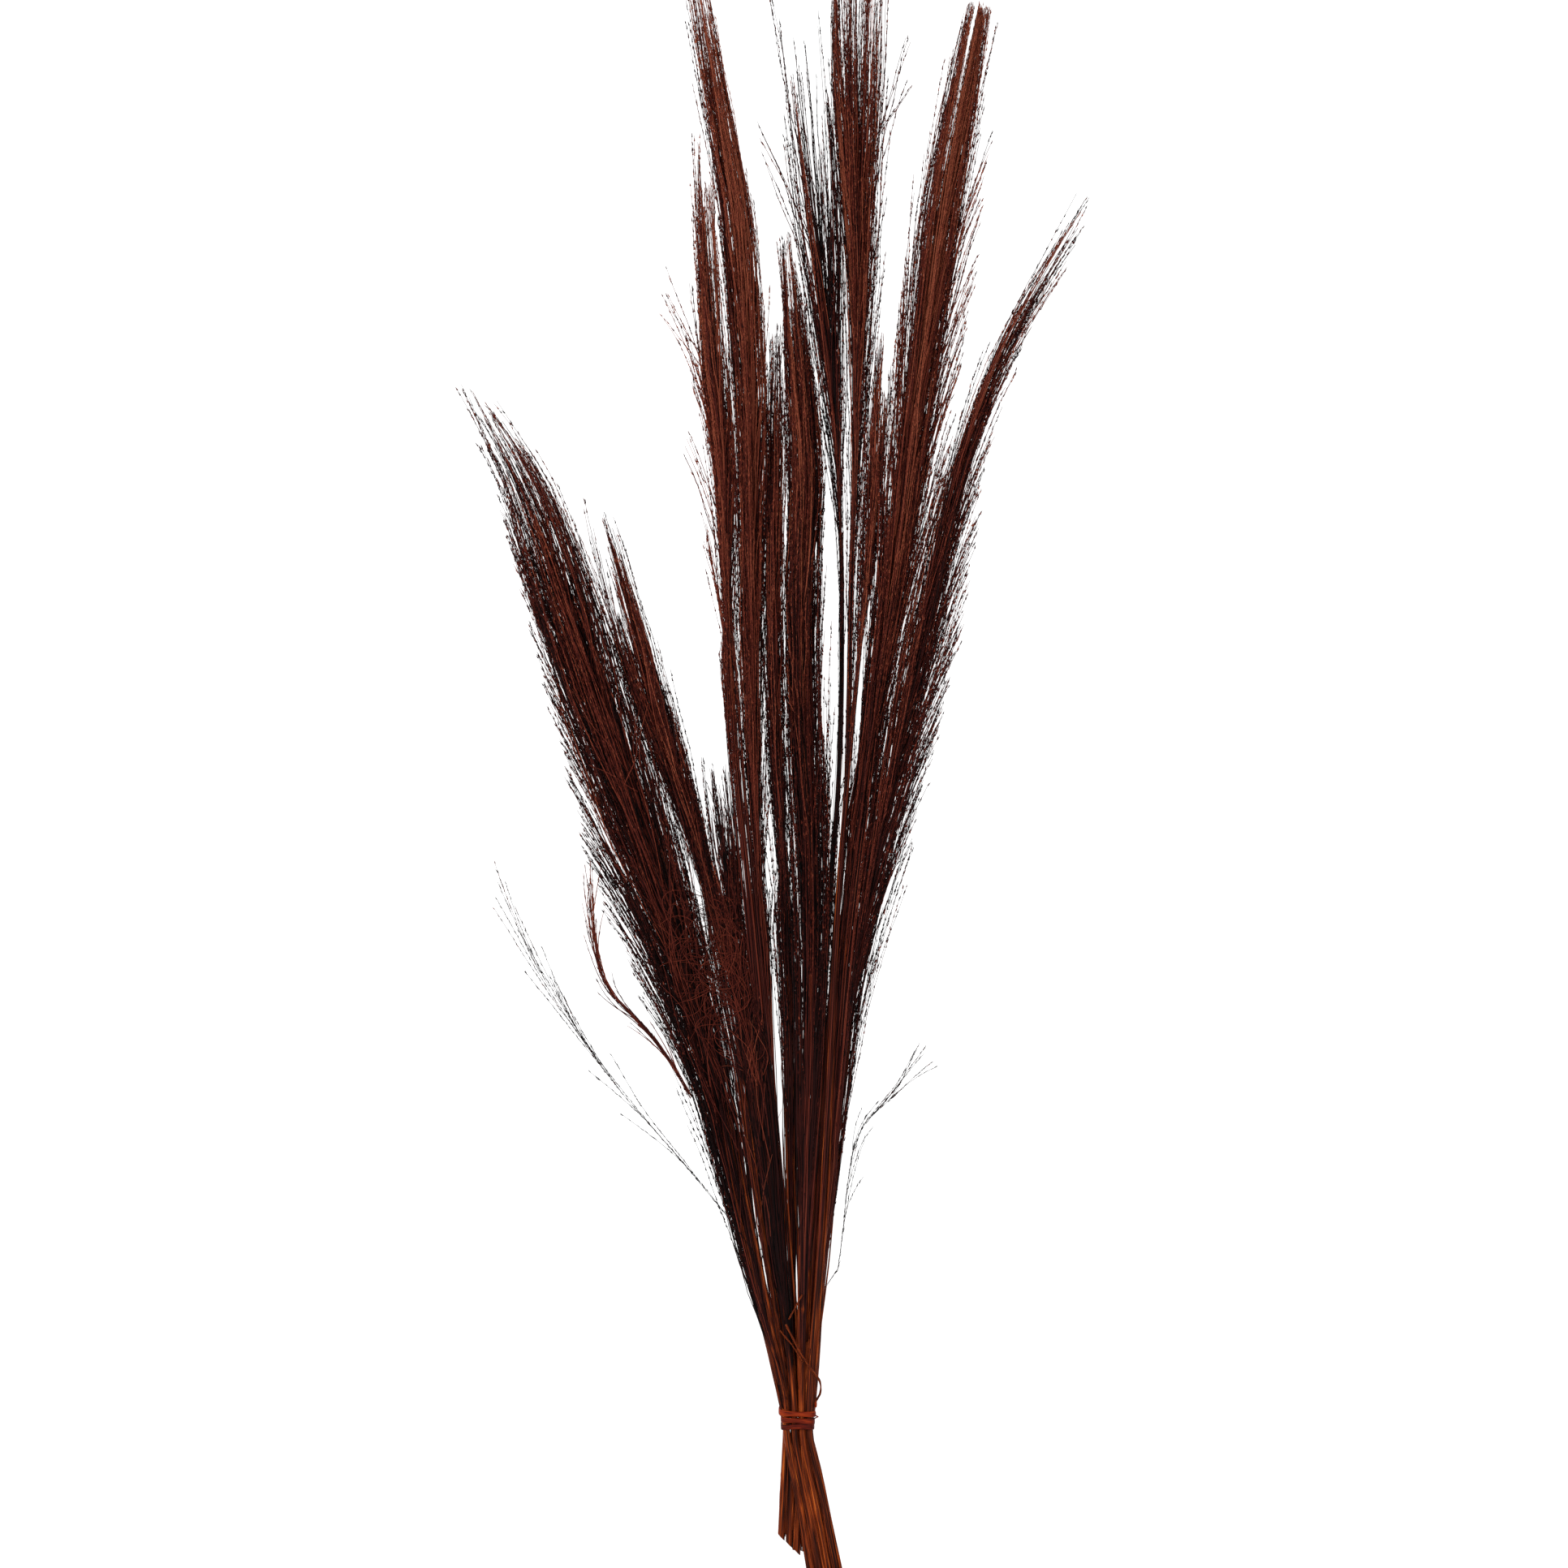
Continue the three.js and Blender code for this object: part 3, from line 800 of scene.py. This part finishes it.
def plume_finish(name, seed):
    """The dyed branches: their own tone runs across the map, and the way up the plume runs up it."""
    finish, shader = new_finish(name, Roughness=0.65, Specular_IOR_Level=0.1)
    start = Shade(shader.outputs[0])
    spot = start.node("ShaderNodeUVMap", {"uv_map": BAKED_MAP})
    split = {"inputs": {"Vector": spot}}
    own = start.node("ShaderNodeSeparateXYZ", **split)
    along = start.node("ShaderNodeSeparateXYZ", output=1, **split)
    place = start.node("ShaderNodeCombineXYZ", inputs={"X": own * 55, "Y": along * 26, "Z": seed})
    mottle = start.node("ShaderNodeTexNoise", inputs={"Vector": place, "Scale": 1.0, "Detail": 2.0})
    # Painted shade: the colour is darkest a third of the way up, where the bunch is thickest, brighter above
    # and below that, and a little darker again right at the tips.
    up = (along - 0.33) * (along - 0.33)
    tone = own + mottle * 0.50 + up * 1.45 - up * up * 1.9 - 0.41
    colour = tone.node(
        "ShaderNodeValToRGB",
        {"stops": [
            (0.0, (0.0034, 0.0014, 0.0014)),
            (0.30, (0.021, 0.0038, 0.0034)),
            (0.55, (0.086, 0.0130, 0.0088)),
            (0.78, (0.205, 0.0360, 0.0195)),
            (1.0, (0.350, 0.0880, 0.0440)),
        ]},
        {"Fac": tone},
    )
    feed(shader, Base_Color=colour)
    return finish


# How each plume grows. Lengths are in mm, and past is in metres.
# branches, tufts: how many branches, in how many tufts. core, tails: how many stout branches inside, and how
#     many that run down into the tie, with their tail_radius.
# fringe, out: how many loose ones at the left and the right edge, and how far they stand off.
# tone, glow: 0 is darkest, and how much brighter the highest tufts are. stout: how thick its branches are.
# close: 1 where the plume draws together at its tip, 0 where it stays open.
# past: how far its loose branches may pass the tip of the culm.
# high: less than 1 where most tufts end near the tip. span: how long a tuft is, as a share of the plume.
# lean, loose: the side its tufts favour, and how wide a tuft is. blunt: cut off level at the top.
# spread: its width as a share of the designed solid's. girth: the distance up the culm and the half width
#     there, where the plume is wider than that.
# sprigs: tufts that stand well off, each with its root, its tip, its way out and its number of branches.
usual = dict(
    core=60, tails=30, tail_radius=0.5, close=0.7, high=0.65, span=(0.34, 0.60), lean=0, loose=1.7,
    sprigs=[], girth=[(8, 2.2), (60, 3.2)], spread=1.0, stout=1.0, glow=0.0, blunt=False, past=14 * MM,
)
habits = {
    "far_left": dict(
        branches=500, tufts=44, core=180, tails=150, fringe=(90, 30), out=15, tone=0.43, close=0.92,
        high=0.36, loose=1.9,
        girth=[(8, 2.4), (60, 4.5), (135, 9), (200, 14), (300, 19), (400, 22)],
        sprigs=[
            (330, 470, -19, 30), (290, 425, -24, 30), (235, 360, -19, 26), (400, 530, -15, 24),
            (450, 570, -12, 22), (520, 650, -11, 24),
        ],
    ),
    "left": dict(
        branches=230, tufts=16, core=80, tails=130, fringe=(12, 20), out=10, tone=0.45, spread=1.35,
        close=0.6, high=0.5,
        girth=[(8, 2.4), (100, 6), (190, 9), (300, 10.5), (343, 9)],
    ),
    "small_left": dict(
        branches=140, tufts=9, core=34, tails=130, fringe=(14, 26), out=12, tone=0.32, close=0.2,
        girth=[(8, 2.4), (100, 6), (190, 9), (250, 10), (330, 9)],
    ),
    "tall_left": dict(
        branches=430, tufts=34, core=80, tails=90, fringe=(84, 36), out=15, tone=0.72, glow=0.2,
        close=0.9, high=0.5,
        girth=[(8, 2.4), (60, 3.4), (245, 6.5), (350, 7)],
    ),
    "inner_left": dict(
        branches=270, tufts=16, core=40, tails=70, fringe=(70, 10), out=12, tone=0.71, close=0.7,
        high=0.5,
        girth=[(8, 2.2), (200, 4.5), (520, 6)],
        sprigs=[(700, 790, -30, 7), (600, 672, -22, 6), (650, 740, -14, 10), (520, 620, -12, 10)],
    ),
    "centre_left": dict(
        branches=250, tufts=18, core=50, tails=60, fringe=(60, 12), out=11, tone=0.46, high=0.6,
        close=0.9, past=40 * MM, spread=0.7,
        girth=[(8, 2.4), (100, 3.2), (250, 6), (350, 7.5)],
    ),
    "centre": dict(
        branches=440, tufts=32, core=120, tails=140, fringe=(44, 64), out=12, tone=0.50, high=0.36,
        close=1.0, glow=0.30,
        girth=[
            (8, 2.4), (150, 5), (250, 9), (330, 12), (420, 13.5), (560, 12.5), (650, 9.5), (741, 5),
            (795, 1.5),
        ],
    ),
    "fork_left": dict(
        branches=150, tufts=26, core=0, tails=18, tail_radius=0.3, fringe=(18, 6), out=12, tone=0.29,
        spread=1.5, close=0.0, high=0.3, span=(0.6, 0.95), loose=1.0, stout=1.35,
        sprigs=[(790, 885, -24, 5)],
    ),
    "fork_right": dict(
        branches=300, tufts=24, core=30, tails=14, tail_radius=0.3, fringe=(8, 36), out=12, tone=0.50,
        spread=0.3, lean=-0.1, close=0.0, high=0.25, span=(0.75, 0.95),
        girth=[
            (8, 2.2), (60, 3.2), (600, 2.5), (690, 5), (744, 7.3), (798, 10), (852, 13.5), (906, 17),
            (1020, 18),
        ],
        sprigs=[(850, 940, 22, 6)],
    ),
    "small_right": dict(
        branches=120, tufts=10, core=10, tails=8, fringe=(40, 8), out=11, tone=0.62,
    ),
    "tall_right": dict(
        branches=430, tufts=34, core=90, tails=90, fringe=(50, 90), out=20, tone=0.68, glow=0.25,
        blunt=True, close=1.0, spread=0.86,
        girth=[(8, 2.4), (60, 3.2), (250, 6), (340, 9), (420, 10)],
        sprigs=[
            (560, 690, 17, 18), (640, 760, 17, 18), (700, 830, 20, 14), (760, 890, 18, 12),
            (560, 700, -10, 14), (660, 800, -8, 12),
        ],
    ),
    "far_right": dict(
        branches=210, tufts=26, core=16, tails=24, fringe=(26, 110), out=20, tone=0.56, close=1.0,
        high=0.75, spread=0.25, loose=1.2,
        girth=[
            (8, 2.4), (60, 2.8), (200, 4), (270, 6), (350, 8), (530, 9), (620, 5.5), (700, 3.4),
            (780, 1.8), (845, 0.8),
        ],
        sprigs=[
            (330, 450, 15, 20), (390, 515, 19, 26), (450, 580, 20, 26), (510, 640, 17, 20),
            (570, 700, 13, 14), (650, 775, 9, 8),
        ],
    ),
}
plumes = {}
for number, (name, habit) in enumerate(habits.items()):
    plume = Plume(culms[name], SimpleNamespace(**{**usual, **habit}), np.random.default_rng(100 + number))
    plumes[name] = plume
    finish = plume_finish(f"dyed_plume_{name}", 3.7 * number)
    body = plume.batches(plume.grow_tufts, plume.grow_core, plume.grow_tails)
    made_piece(f"branches_{name}", body, finish, [f"plume_{name}"])
    fringe = plume.batches(plume.grow_fringe, plume.grow_sprigs, bead=FRINGE_BEAD)
    made_piece(f"fringe_{name}", fringe, finish)

# ---- loose strands ----
# Branches that have come away from the plumes, or grew apart from them: two sparse wisps that lie beside the
# bundle and a twisted lock on its left. Each is a few threads that part towards the end.


def from_the_tie(node):
    """The middles of a swept solid's rings, from the end nearest the tie."""
    middles = [ring.mean(0) for ring in rings_of(node)]
    first, last = (
        np.linalg.norm(end[:2] - np.array(tie_middle)[:2]) for end in (middles[0], middles[-1])
    )
    return middles if first < last else middles[::-1]


def parting_strands(line, whole, parted, loose, twist, thick, tone, rng):
    """Threads that run the whole line, twisted together, and others that part from it on the way."""
    count, length = whole + parted, line.end
    root = np.concatenate([rng.uniform(0, 0.03, whole), rng.uniform(0.05, 0.72, parted)])[:, None] * length
    whole_tip = rng.uniform(0.8, 1.0, whole) * length
    tip = np.concatenate([whole_tip, root[whole:, 0] + rng.uniform(0.16, 0.40, parted) * length])
    tip = np.minimum(tip, length * rng.uniform(0.90, 1.0, count))[:, None]
    t = np.linspace(0, 1, BRANCH_RINGS)
    along = root + (tip - root) * t
    way = rng.choice([-1.0, 1.0], count)[:, None]
    out = np.concatenate([np.full(whole, 0.15), rng.uniform(0.3, 1.0, parted)])[:, None] * loose
    turn = along * rng.uniform(50, 80, (count, 1)) + rng.uniform(0, 6.3, (count, 1))
    aside = way * out * t**1.6 + twist * np.sin(turn)
    above = twist + twist * np.cos(turn)
    radius = BRANCH_TIP + (thick - BRANCH_TIP) * (1 - t) ** 0.6 * rng.uniform(0.7, 1.2, (count, 1))
    own = np.clip(tone + rng.normal(0, 0.14, count), 0.01, 0.98)
    shares, bare = np.clip(along / length, 0, 0.995), np.full(count, 0.04)
    return strands_of(line, along, aside, above, radius, own, shares, bare, rng)


loose_finish = plume_finish("dyed_loose_strands", 51.3)
rng = np.random.default_rng(61)
for node, threads in {
    "wisp_left": dict(whole=2, parted=13, loose=10 * MM, twist=0.3 * MM, thick=0.15 * MM, tone=0.10),
    "wisp_right": dict(whole=2, parted=11, loose=12 * MM, twist=0.3 * MM, thick=0.15 * MM, tone=0.10),
    "curl_left": dict(whole=13, parted=16, loose=9 * MM, twist=0.9 * MM, thick=0.42 * MM, tone=0.66),
}.items():
    middles = from_the_tie(node)
    if node == "wisp_right":
        # Its root is inside the bundle, and it leaves on the right side.
        middles = [middles[0] + np.array((-9, -9, 2)) * MM, *middles]
    batches = parting_strands(Line(middles), rng=rng, **threads)
    made_piece(f"threads_{node}", batches, loose_finish, [node])

# ---- tangle ----
# Fine dry hairs that lie over the left plumes: a nest of curls at the foot of the small plume, a brighter
# little curl below it, a few that cross the large plume, and many that slant across the lower bundle.

HAIR_RINGS = 26
HAIR_RADIUS = 0.26 * MM
hair = drawn_tube(3, HAIR_RINGS)


def top_of(place):
    """How high the three left plumes and their stems stand there, or 0 beside them."""
    top = 0
    for plume in (plumes["far_left"], plumes["left"], plumes["small_left"]):
        line, stem = plume.culm.line, plume.culm.foot_radius
        along = np.interp(place[1], line.places[:, 1], line.along)
        middle = line.at(along)
        off = abs(place[0] - middle[0]) / max(float(plume.width(along)), stem)
        if off < 1:
            top = max(top, middle[2] + max(float(plume.height(along)), stem) * math.sqrt(1 - off**2))
    return top


def hairs(name, along, across, count, long, slant, bend, tone):
    """Hairs dropped beside a culm, with lengths in mm, a slant in radians and a bend in radians per mm."""
    line, middles = culms[name].line, []
    while len(middles) < count:
        distance = np.array(rng.uniform(*along) * MM)
        way = line.heading(distance)
        side, _ = squares_to(way)
        length = rng.uniform(*long) * MM
        steps = np.linspace(0, 1, HAIR_RINGS)
        turning = rng.uniform(-1, 1) * bend + bend * np.sin(steps * rng.uniform(3, 9) + rng.uniform(0, 6.3))
        angle = rng.normal(0, slant) + np.cumsum(turning) * length / MM / HAIR_RINGS
        run = np.cos(angle)[:, None] * way + np.sin(angle)[:, None] * side
        root = line.at(distance) + rng.uniform(*across) * MM * side
        path = root + np.cumsum(run, axis=0) * length / HAIR_RINGS
        tops = np.array([top_of(place) for place in path[::5]])
        if (tops == 0).sum() > 1:
            continue
        rest = np.interp(np.arange(HAIR_RINGS), np.arange(0, HAIR_RINGS, 5), tops)
        path[:, 2] = rest + rng.uniform(0.2, 1.6) * MM
        middles.append(path)
    thinning = 1 - 0.5 * np.linspace(0, 1, HAIR_RINGS) ** 3
    radius = HAIR_RADIUS * rng.uniform(0.6, 1.2, (count, 1)) * thinning
    own = np.clip(tone + rng.normal(0, 0.10, count), 0.01, 0.98)
    shares = np.broadcast_to(np.linspace(0.3, 0.6, HAIR_RINGS), (count, HAIR_RINGS))
    return threads_laid(hair, np.array(middles), radius, own, shares)


tangle = [
    hairs("small_left", (262, 350), (-15, 3), 95, (34, 72), 0.6, 0.075, 0.80),
    hairs("small_left", (222, 240), (-6, 4), 16, (25, 45), 0.35, 0.045, 0.98),
    hairs("far_left", (430, 470), (-4, 12), 5, (35, 70), 0.8, 0.02, 0.80),
    hairs("small_left", (90, 260), (-10, 5), 22, (60, 150), 0.12, 0.006, 0.80),
    hairs("far_left", (120, 330), (-9, 14), 24, (60, 150), 0.16, 0.006, 0.76),
    hairs("left", (150, 330), (-8, 8), 14, (60, 140), 0.12, 0.006, 0.78),
]
made_piece("tangle_of_hairs", tangle, loose_finish)

# ---- tendrils ----
# Three woody ends just above the tie, each cut to a pale tip, and the cane's own end, which is tucked in
# at the right.

TENDRIL_STEP = 1.2 * MM
CANE_END_RINGS = 14
CANE_END_HALF_WIDTH = 1.6 * MM
for number, node in enumerate(("tendril_long", "tendril_short", "twig")):
    middles = from_the_tie(node)
    if node == "tendril_long":
        # Its root comes from inside the bundle and loops out at the right.
        middles = [middles[0] + np.array((-5, -7, 2)) * MM, *middles]
    line = Line(middles)
    designed = [np.linalg.norm(ring - ring.mean(0), axis=1).mean() for ring in rings_of(node)]
    rings = math.ceil(line.end / TENDRIL_STEP)
    tube = drawn_tube(10, rings)
    along = np.linspace(line.start, line.end, rings)[None]
    radius = np.mean(designed) * (1 + 0.14 * np.sin(along * 310 + number) + 0.10 * np.sin(along * 730))
    side, lift = squares_to(line.heading(along))
    places = laid(tube, line.at(along), side * radius[..., None], lift * radius[..., None])
    finish = stem_finish(f"dyed_{node}", 91 + number, 0.0)
    woody_piece(f"cut_{node}", tube, places, finish, node)

middles = [ring.mean(0) for ring in rings_of("tie_end")]
bulge = middles[len(middles) // 2] - np.array((2.0, 0, 0)) * MM
under = np.array((tie_middle.x + 10.5 * MM, bulge[1], (tie_middle.z + bulge[2]) / 2))
step = np.array((0, 1.7, 0)) * MM
line = Line([under - step, bulge, under + step])
tube = drawn_tube(CANE_SIDES, CANE_END_RINGS)
along = np.linspace(line.start, line.end, CANE_END_RINGS)[None]
side, lift = squares_to(line.heading(along))
taper = CANE_END_HALF_WIDTH * (1 - 0.35 * along / line.end)
places = laid(tube, line.at(along), side * 0.6 * taper[..., None], lift * taper[..., None])
down = tube.ring[tube.loops] / (CANE_END_RINGS - 1)
on_map = np.stack([np.minimum(tube.around, 1), 0.7 + 0.25 * down], -1)
made_piece("cane_end", [(tube, places, on_map[None])], cane, ["tie_end"])

# ---- floor, light and camera ----
# A plain pale floor that glows a little, as a light table does, a soft light from the left and another
# overhead, and a camera straight above the middle of the bundle, looking down.

bpy.ops.mesh.primitive_plane_add(size=24, location=(0, 0, 0))
floor = bpy.context.object
floor.name = "floor"
pale, shader = new_finish(
    "pale_floor", Base_Color=(0.3, 0.3, 0.3, 1), Roughness=0.9, Specular_IOR_Level=0.1
)
shader.inputs["Emission Color"].default_value = (1, 1, 1, 1)
shader.inputs["Emission Strength"].default_value = 0.98
floor.data.materials.append(pale)

world = bpy.data.worlds.new("soft_studio")
bpy.context.scene.world = world
world.use_nodes = True
world.node_tree.nodes["Background"].inputs["Color"].default_value = (1, 1, 1, 1)
world.node_tree.nodes["Background"].inputs["Strength"].default_value = 0.45


def soft_light(name, size, power, place):
    bpy.ops.object.light_add(type="AREA", location=place)
    light = bpy.context.object
    light.name = name
    light.data.shape, light.data.size, light.data.energy = "SQUARE", size, power
    light.rotation_mode = "QUATERNION"
    light.rotation_quaternion = light.location.to_track_quat("Z", "Y")


soft_light("from_the_left", 1.2, 42, (-2.0, 0.6, 1.7))
soft_light("overhead", 1.6, 20, (1.0, -0.4, 2.4))

CAMERA_HEIGHT = 2.8
SENSOR_WIDTH = 36
# The camera sees this much at half the bundle's height, round a point this far from the middle of the tie.
SEEN_WIDTH = 1.0626
HALF_HEIGHT = 10 * MM
FROM_TIE = (-9.35 * MM, 428.45 * MM)
camera = bpy.data.cameras.new("camera")
camera.sensor_width = SENSOR_WIDTH
camera.lens = SENSOR_WIDTH * (CAMERA_HEIGHT - HALF_HEIGHT) / SEEN_WIDTH
camera_place = bpy.data.objects.new("camera", camera)
camera_place.location = (tie_middle.x + FROM_TIE[0], tie_middle.y + FROM_TIE[1], CAMERA_HEIGHT)
bpy.context.scene.collection.objects.link(camera_place)
bpy.context.scene.camera = camera_place
bpy.context.scene.view_settings.view_transform = "Standard"
